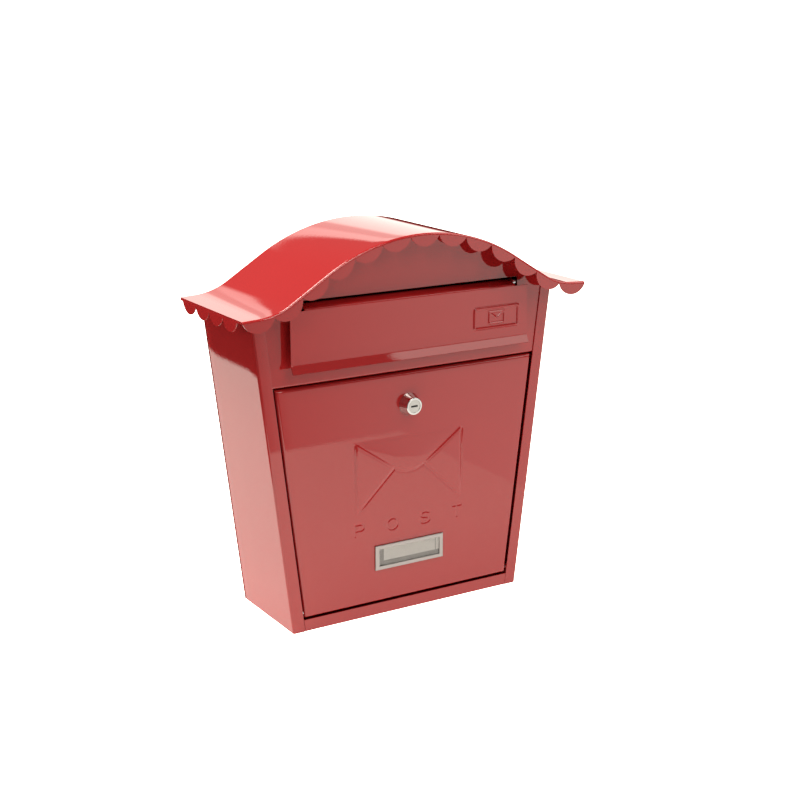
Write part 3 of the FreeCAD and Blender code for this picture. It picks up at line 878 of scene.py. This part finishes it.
def badge_height(x, z):
    dx = np.abs(x - BADGE_X) - BADGE_HALF_W + BADGE_CORNER + BADGE_LINE / 2
    dz = np.abs(z - BADGE_Z) - BADGE_HALF_H + BADGE_CORNER + BADGE_LINE / 2
    outside = np.hypot(np.maximum(dx, 0), np.maximum(dz, 0))
    outline = outside + np.minimum(np.maximum(dx, dz), 0) - BADGE_CORNER
    rise = stroke_height(np.abs(outline), BADGE_LINE, BADGE_RISE, BADGE_FLANK)
    turns = ((-1, -1), (1, -1), (1, 1), (-1, 1))
    corners = [(BADGE_X + a * ICON_HALF_W, BADGE_Z + b * ICON_HALF_H) for a, b in turns]
    strokes = list(zip(corners, corners[1:] + corners[:1]))
    tip = (BADGE_X, BADGE_Z - ICON_TIP)
    strokes += [(corners[3], tip), (tip, corners[2])]
    for start, end in strokes:
        near = line_distance(x, z, start, end)
        rise = np.maximum(rise, stroke_height(near, ICON_LINE, ICON_RISE, ICON_FLANK))
    return rise


flap = make_flap()
face_out(flap, Vector((0, -1, 0)))
press(flap, FLAP_Y, badge_height)
thicken(flap)
dress(flap, RED_COAT, "flap", ["letter_flap"])

# %% [markdown]
# ## Door
# The door is a shallow pan: a flat face whose four edges are rounded and folded back. The face is a grid,
# fine behind the relief and the lock, and coarse elsewhere. Rings of faces go on from its border, each a
# little further out and back, which makes the folds and mitres the corners at the same time.

# %% Door measures
DOOR_LOW, DOOR_HIGH = span("door", 2)
DOOR_BACK = span("door", 1)[1]
DOOR_INSET = 14.2 * MM
DOOR_BEND = 3.0 * MM
LOCK = hinge("lock_turn")
PLATE_LOW, PLATE_HIGH = span("nameplate_frame", 2)
HOLE_R, HOLE_FLAT = 8.9 * MM, 7.7 * MM


# %% Pan
def make_pan(name, columns, rows, place, skip, rings):
    """A grid whose border goes on in rings. rings holds (out, back) pairs, measured from the border."""
    mesh = bmesh.new()
    points = add_grid(mesh, columns, rows, place, skip)
    last_i, last_j = len(columns) - 1, len(rows) - 1
    border = [(i, 0) for i in range(last_i)] + [(last_i, j) for j in range(last_j)]
    border += [(i, last_j) for i in range(last_i, 0, -1)] + [(0, j) for j in range(last_j, 0, -1)]
    previous = [points[j][i] for i, j in border]
    edge = list(previous)
    for out, back in rings:
        ring = []
        for (i, j), vertex in zip(border, edge):
            across = (i == last_i) - (i == 0)
            up = (j == last_j) - (j == 0)
            ring.append(mesh.verts.new(vertex.co + Vector((across * out, back, up * out))))
        for k in range(len(ring)):
            n = (k + 1) % len(ring)
            mesh.faces.new([previous[k], ring[k], ring[n], previous[n]])
        previous = ring
    drop_loose(mesh)
    bmesh.ops.recalc_face_normals(mesh, faces=mesh.faces)
    return mesh_object(name, mesh)


def trim_hole(piece, centre, radius, flat):
    """Pulls the rough border of a hole onto a circle with two flats."""
    mesh = bmesh.new()
    mesh.from_mesh(piece.data)
    for vertex in mesh.verts:
        arm = Vector((vertex.co.x - centre.x, 0, vertex.co.z - centre.z))
        if vertex.is_boundary and arm.length < 1.5 * radius:
            arm *= radius / arm.length
            arm.x = min(max(arm.x, -flat), flat)
            vertex.co = Vector((centre.x, vertex.co.y, centre.z)) + arm
    mesh.to_mesh(piece.data)
    mesh.free()


# %% Door sheet
FINE = 62 * MM
LETTER_LOW, LETTER_HIGH = 82.0 * MM, 94.5 * MM
RELIEF_TOP = 176.0 * MM
LOCK_ZONE = 11.0 * MM


def door_rows():
    """Heights of the grid's rows, closer together where something is pressed or cut."""
    low, high = DOOR_LOW + DOOR_BEND, DOOR_HIGH - DOOR_BEND
    rows = lines(low, (PLATE_LOW + 2 * MM, 6), (PLATE_HIGH - 2 * MM, 8), (LETTER_LOW - 3 * MM, 2))
    rows += lines(rows[-1], (LETTER_HIGH + 2 * MM, 36), (RELIEF_TOP, 100), (LOCK.z - LOCK_ZONE, 3))[1:]
    rows += lines(rows[-1], (LOCK.z + LOCK_ZONE, 22), (high, 4))[1:]
    return rows


def make_door():
    columns = lines(-2.0, (-1.0, 8), (1.0, 200), (2.0, 8))
    rows = door_rows()

    def place(column, z):
        edge = half_width(z) - DOOR_INSET - DOOR_BEND
        share = abs(column)
        x = share * FINE if share <= 1 else FINE + (share - 1) * (edge - FINE)
        return Vector((math.copysign(x, column), FRONT, z))

    def skip(i, j):
        x = FINE * (columns[i] + columns[i + 1]) / 2
        z = (rows[j] + rows[j + 1]) / 2
        return math.hypot(x, z - LOCK.z) < HOLE_R and abs(x) < HOLE_FLAT

    rings = [(DOOR_BEND - inset, back) for inset, back in fold(DOOR_BEND)[1:]]
    depth = DOOR_BACK - FRONT
    rings += [(DOOR_BEND, DOOR_BEND + (depth - DOOR_BEND) * k / 3) for k in range(1, 4)]
    return make_pan("door_sheet", columns, rows, place, skip, rings)


# %% Pressed envelope
ENV_HALF, ENV_TOP = 58.0 * MM, 172.0 * MM
ENV_FOOT_X, ENV_FOOT = 55.0 * MM, 107.0 * MM
TIP_SIDE_X, TIP_SIDE_Z, TIP_Z = 16.5 * MM, 143.5 * MM, 138.8 * MM
FLANK = 1.5 * MM
FACET_ROUND = 6.0 * MM


def groove_at(distance, depth, width):
    """A soft groove, deepest where the distance is zero."""
    return depth * np.exp(-(distance / width) ** 2)


def pressed_edge(distance, rise, groove):
    """A raised facet's border: inside is positive, and a groove follows the foot of the step."""
    step = rise * soft_step(distance, -FLANK, FLANK)
    return step - groove_at(distance + FLANK, groove, 0.9 * MM)


def bulge(distance, height, reach):
    """A facet rounds off towards its edge, like folded paper."""
    return height * (1 - np.exp(-np.maximum(distance, 0) / reach))


def envelope_height(x, z):
    """Three facets that overlap like paper: the flap over the sides, and the sides over the front."""
    ax = np.abs(x)
    slope = (ENV_TOP - TIP_SIDE_Z) / (ENV_HALF - TIP_SIDE_X)
    straight = ENV_TOP - (ENV_HALF - ax) * slope
    nose = TIP_Z + (TIP_SIDE_Z - TIP_Z) * (ax / TIP_SIDE_X) ** 2
    over = (z - np.where(ax < TIP_SIDE_X, nose, straight)) / math.hypot(1, slope)
    side_slope = (TIP_SIDE_Z - ENV_FOOT) / (ENV_FOOT_X - TIP_SIDE_X)
    above = (z - ENV_FOOT - (ENV_FOOT_X - ax) * side_slope) / math.hypot(1, side_slope)
    inside = np.minimum(ENV_HALF - ax, ENV_TOP - z)
    border = soft_step(inside, -FLANK, 2.5 * MM)
    fade = soft_step(z, ENV_FOOT - 4 * MM, ENV_FOOT + 6 * MM) * border
    inward = np.clip((ENV_HALF - ax) / (ENV_HALF - TIP_SIDE_X), 0, 1)
    side = pressed_edge(above, (0.35 + 0.5 * inward) * MM, 0.35 * MM)
    side = (side + bulge(above, 0.5 * MM, FACET_ROUND)) * fade
    tilt = np.clip((ENV_TOP - z) / (ENV_TOP - TIP_Z), 0, 1)
    top = pressed_edge(over, (0.1 + 0.75 * tilt ** 0.8) * MM, 0.16 * MM)
    top = top + bulge(over, 0.9 * MM * tilt, FACET_ROUND)
    cover = soft_step(over, -1.2 * MM, 1.2 * MM)
    groove = groove_at(ENV_HALF + 0.7 * MM - ax, 0.4 * MM, 0.8 * MM)
    groove = groove * soft_step(z, ENV_FOOT - 10 * MM, ENV_TOP - 40 * MM) * (z < ENV_TOP)
    return side * (1 - cover) + top * border - groove


# %% Pressed word
STROKE = 1.4 * MM
LETTER_DEPTH, LETTER_FLANK = 0.42 * MM, 0.9 * MM
LETTER_PITCH = 36.0 * MM


def letter_distance(letter, x, z):
    """Distance to the middle of a letter's strokes. The letter stands on z = 0, centred on x = 0."""
    h = (LETTER_HIGH - LETTER_LOW) - STROKE
    w, half = h * 0.42, h / 2
    if letter == "P":
        bowl = h * 0.27
        return np.minimum.reduce([
            line_distance(x, z, (-w, 0), (-w, h)),
            line_distance(x, z, (-w, h), (w - bowl, h)),
            line_distance(x, z, (-w, h - 2 * bowl), (w - bowl, h - 2 * bowl)),
            arc_distance(x, z, (w - bowl, h - bowl), bowl, -90, 90),
        ])
    if letter == "O":
        return arc_distance(x, z, (0, half), half, 0, 360)
    if letter == "S":
        low, high = h * 0.26, h * 0.24
        narrow = low / w
        return np.minimum(arc_distance(x * narrow, z, (0, h - high), high, 38, 270),
                          arc_distance(x * narrow, z, (0, low), low, -142, 90))
    return np.minimum(line_distance(x, z, (0, 0), (0, h)), line_distance(x, z, (-w, h), (w, h)))


def word_height(x, z):
    """Depth of the four letters, which are pressed in at a steady pitch."""
    depth = np.zeros_like(x)
    for k, letter in enumerate("POST"):
        centre = (k - 1.5) * LETTER_PITCH
        near = letter_distance(letter, x - centre, z - LETTER_LOW - STROKE / 2)
        depth = np.maximum(depth, stroke_height(near, STROKE, LETTER_DEPTH, LETTER_FLANK))
    return depth


def door_relief(x, z):
    return np.where(z > (LETTER_HIGH + ENV_FOOT) / 2, envelope_height(x, z), -word_height(x, z))


door = make_door()
face_out(door, Vector((0, -1, 0)))
trim_hole(door, LOCK, HOLE_R, HOLE_FLAT)
press(door, FRONT, door_relief)
thicken(door)
dress(door, RED_COAT, "door", ["door"])

# %% [markdown]
# ## Small parts that keep their CAD shape
# The hinge parts, the lock's inner pieces, the tray, the back and the name plate are already right in the
# CAD model. They only need a finish, and a finish goes in their material slots.

# %% Finishes of the CAD nodes
KEPT = {
    RED_COAT: ["back_panel", "bottom_tray", "flap_bracket_left", "flap_bracket_right",
               "door_hinge_lug_left", "door_hinge_lug_right"],
    ZINC: ["flap_hinge_rod", "rod_push_nuts", "door_hinge_pin_left", "door_hinge_pin_right",
           "lock_nut", "lock_washer", "lock_cam", "cam_washer", "cam_screw"],
    CHROME: ["lock_body"],
    NICKEL: ["lock_plug"],
    ALUMINIUM: ["nameplate_frame"],
    WINDOW: ["nameplate_window"],
    RUBBER: ["flap_stop_pads"],
}
for material, nodes in KEPT.items():
    for node in nodes:
        for place in frame["nodes"][node].material_slots:
            place.material = material
    print(material.name, len(nodes), "nodes")

# %% [markdown]
# ## Name card and keyhole
# Behind the window lies a strip of card on a darker tray. The tray's darker grey is painted shade, standing
# for the shade in the window's recess. The card is a little smaller than the opening and sits against the
# upper edge, so the tray shows as a dark strip on the left and below, and as a thin gap beside a short stub
# of card on the right. The keyhole's black is painted shade too: a black block lies a little way into the
# keyway and turns with the lock.

# %% Tray and card
PAPER_EDGE = 0.05 * MM


def make_block(name, low, high, soft):
    """A box between two corners, with softly rounded edges."""
    mesh = bmesh.new()
    bmesh.ops.create_cube(mesh, size=1.0)
    for vertex in mesh.verts:
        for axis in range(3):
            vertex.co[axis] = high[axis] if vertex.co[axis] > 0 else low[axis]
    piece = mesh_object(name, mesh)
    edge = piece.modifiers.new("edge", "BEVEL")
    edge.width = soft
    edge.segments = 2
    return bake(piece)


card_low, card_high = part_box("name_card")
CARD_BACK = card_low[1] + 0.25 * MM
# The card stops short of the tray's left edge and foot, so strips of the tray's painted shade show there.
CARD_FOOT = card_low[2] + 6.4 * MM
CARD_LEFT, CARD_RIGHT = card_low[0] + 6.2 * MM, card_high[0] - 5.2 * MM
CARD_GAP = 0.9 * MM
CARDS = {
    "painted_shade_tray": (SHADE_TRAY, (card_low[0], CARD_BACK + 0.02 * MM, card_low[2]), tuple(card_high)),
    "name_card_strip": (CARD, (CARD_LEFT, card_low[1], CARD_FOOT), (CARD_RIGHT, CARD_BACK, card_high[2])),
    "name_card_stub": (CARD, (CARD_RIGHT + CARD_GAP, card_low[1], CARD_FOOT),
                       (card_high[0], CARD_BACK, card_high[2])),
}
for name, (finish, low, high) in CARDS.items():
    dress(make_block(name, low, high, PAPER_EDGE), finish, "door", ["name_card"])

# %% Painted shade in the keyhole
PLUG_FACE = span("lock_plug", 1)[0]
KEY_HALF_W, KEY_HALF_H = 3.5 * MM, 0.85 * MM
# The black block in the keyway is painted shade: it darkens the keyhole, which holds only shade, and turns
# with the lock.
SHADE_BLOCK_FRONT, SHADE_BLOCK_REAR = 0.5 * MM, 5.0 * MM
keyhole_shade = make_block("keyhole_painted_shade", (-KEY_HALF_W, PLUG_FACE + SHADE_BLOCK_FRONT, LOCK.z - KEY_HALF_H),
                    (KEY_HALF_W, PLUG_FACE + SHADE_BLOCK_REAR, LOCK.z + KEY_HALF_H), 0.1 * MM)
dress(keyhole_shade, RUBBER, "lock", [])

# %% [markdown]
# ## Camera
# The camera looks down a little from the front left, so that the front, the left side and the top of the
# roof are all seen. It is aimed at a point on the front and stands about four box heights away, with a long
# lens that keeps upright edges nearly parallel.

# %% Camera
AZIMUTH, ELEVATION = math.radians(-31.39), math.radians(15.01)
AIM = Vector((-9.97 * MM, FRONT, 207.6 * MM))
DISTANCE = 1.4101
LENS, SENSOR = 68.74, 36
level = math.cos(ELEVATION)
back = Vector((math.sin(AZIMUTH) * level, -math.cos(AZIMUTH) * level, math.sin(ELEVATION)))
camera = bpy.data.objects.new("camera", bpy.data.cameras.new("camera"))
camera.data.lens = LENS
camera.data.sensor_width = SENSOR
camera.location = AIM + back * DISTANCE
camera.rotation_euler = back.to_track_quat("Z", "Y").to_euler()
bpy.context.scene.collection.objects.link(camera)
bpy.context.scene.camera = camera
print("camera at", [round(v, 3) for v in camera.location])

# %% [markdown]
# ## Floor and light
# The box stands on a pale table in a white studio. Paint this glossy shows its surroundings, so they do
# most of the work. The table mirrors in the front and the side, and its edges end that glow. The roof
# mirrors what is behind the box, so the world shader puts a backdrop there whose light changes with
# height. Softboxes add the rest: each is an area light of even brightness, which paint reflects as a patch.

# %% Table
# Left, front, right and rear edge, then how bright it looks to the paint and how bright to the camera.
STUDIO_TINT = (1.0, 0.98, 0.90)
TABLE = (-0.42, -0.56, 0.31, 0.95)
TABLE_GLOW = 1.03
WHITE = 3.0


def make_table():
    material, shader = start_material("pale_table", (0.5, 0.49, 0.45), 0.7)
    glow = material.node_tree.nodes.new("ShaderNodeMix")
    glow.data_type = "FLOAT"
    seen = material.node_tree.nodes.new("ShaderNodeLightPath")
    material.node_tree.links.new(seen.outputs["Is Camera Ray"], glow.inputs["Factor"])
    glow.inputs["A"].default_value = TABLE_GLOW
    glow.inputs["B"].default_value = WHITE
    shader.inputs["Emission Color"].default_value = (*STUDIO_TINT, 1)
    material.node_tree.links.new(glow.outputs["Result"], shader.inputs["Emission Strength"])
    left, front, right, rear = TABLE
    mesh = bmesh.new()
    corners = [(left, front), (right, front), (right, rear), (left, rear)]
    mesh.faces.new([mesh.verts.new((x, y, -0.2 * MM)) for x, y in corners])
    table = mesh_object("table", mesh)
    table.data.materials.append(material)


make_table()


# %% Studio surroundings
# Each stop of the backdrop is (start, end, change of light), counted in height over distance. It faces 25
# degrees to the left and fades out on its left. The floor in front of the box is brighter on the right.
BACKDROP = [(0.0, 0.08, 1.75), (0.46, 0.50, -0.85), (0.54, 0.57, 0.50), (0.60, 0.615, -1.40)]
BACKDROP_LEFT = (0.10, 0.20)
FACING = (-0.4226, 0.9063)
ROOM, CEILING, CEILING_FADE = 0.03, 0.19, (-0.05, 0.3)
FRONT_FLOOR, FLOOR_LEFT_SHARE = 1.5, 0.14
FLOOR_AHEAD, FLOOR_ACROSS, FLOOR_UP = (-0.3, 0.0), (0.30, 0.58), (-0.12, 0.02)


def make_studio():
    world = bpy.data.worlds.new("studio")
    bpy.context.scene.world = world
    world.use_nodes = True
    nodes, links = world.node_tree.nodes, world.node_tree.links
    split = nodes.new("ShaderNodeSeparateXYZ")
    links.new(nodes.new("ShaderNodeTexCoord").outputs["Generated"], split.inputs[0])
    x, y, z = (split.outputs[axis] for axis in "XYZ")

    def calc(operation, first, second):
        return math_node(nodes, links, operation, first, second)

    def fade(value, start, end, low, high):
        node = nodes.new("ShaderNodeMapRange")
        node.interpolation_type = "SMOOTHSTEP"
        links.new(value, node.inputs["Value"])
        for label, number in zip(("From Min", "From Max", "To Min", "To Max"), (start, end, low, high)):
            node.inputs[label].default_value = number
        return node.outputs["Result"]

    away = calc("ADD", calc("MULTIPLY", x, FACING[0]), calc("MULTIPLY", y, FACING[1]))
    height = calc("DIVIDE", z, calc("MAXIMUM", away, 0.02))
    light = fade(z, *CEILING_FADE, ROOM, CEILING)
    panel = fade(height, *BACKDROP[0][:2], 0.0, BACKDROP[0][2])
    for start, end, change in BACKDROP[1:]:
        panel = calc("ADD", panel, fade(height, start, end, 0.0, change))
    across = calc("DIVIDE", x, calc("MAXIMUM", away, 0.02))
    light = calc("ADD", light, calc("MULTIPLY", panel, fade(across, *BACKDROP_LEFT, 0.0, 1.0)))
    right = fade(x, *FLOOR_ACROSS, FLOOR_LEFT_SHARE, 1.0)
    ahead = calc("MULTIPLY", fade(y, *FLOOR_AHEAD, 1.0, 0.0), right)
    ahead = calc("MULTIPLY", ahead, fade(z, *FLOOR_UP, FRONT_FLOOR, 0.0))
    light = calc("MAXIMUM", calc("ADD", light, ahead), ROOM)
    seen = nodes.new("ShaderNodeLightPath").outputs["Is Camera Ray"]
    light = calc("MAXIMUM", light, calc("MULTIPLY", seen, WHITE))
    nodes["Background"].inputs["Color"].default_value = (*STUDIO_TINT, 1)
    links.new(light, nodes["Background"].inputs["Strength"])


make_studio()


# %% Softboxes
# Each one is (place, size, brightness). The key stands high on the left and the rim strip is a narrow one.
SOFTBOX_AIM = (0, 0, 0.27)
SOFTBOXES = {
    "key_box": ((-0.58, 0.18, 1.60), (0.8, 0.8), 16.0),
    "left_box": ((-1.20, 0.75, 0.75), (0.9, 0.9), 4.0),
    "right_box": ((1.02, -0.48, 1.15), (1.1, 0.8), 2.4),
    "front_box": ((0.10, -1.70, 1.30), (0.8, 0.8), 4.2),
    "rim_box": ((0.0, -0.75, 1.50), (0.7, 0.15), 12.0),
}


def make_softbox(name, place, aim, size, brightness):
    """A rectangular light of an even brightness, which the camera doesn't see."""
    data = bpy.data.lights.new(name, "AREA")
    data.shape = "RECTANGLE"
    data.size, data.size_y = size
    data.color = STUDIO_TINT
    data.energy = brightness * math.pi * size[0] * size[1]
    light = bpy.data.objects.new(name, data)
    light.location = place
    light.rotation_euler = (Vector(place) - Vector(aim)).to_track_quat("Z", "Y").to_euler()
    light.visible_camera = False
    bpy.context.scene.collection.objects.link(light)
    print(name, round(data.energy, 1), "W")


for name, (place, size, brightness) in SOFTBOXES.items():
    make_softbox(name, place, SOFTBOX_AIM, size, brightness)

bpy.context.scene.view_settings.view_transform = "Standard"
bpy.context.scene.view_settings.look = "None"
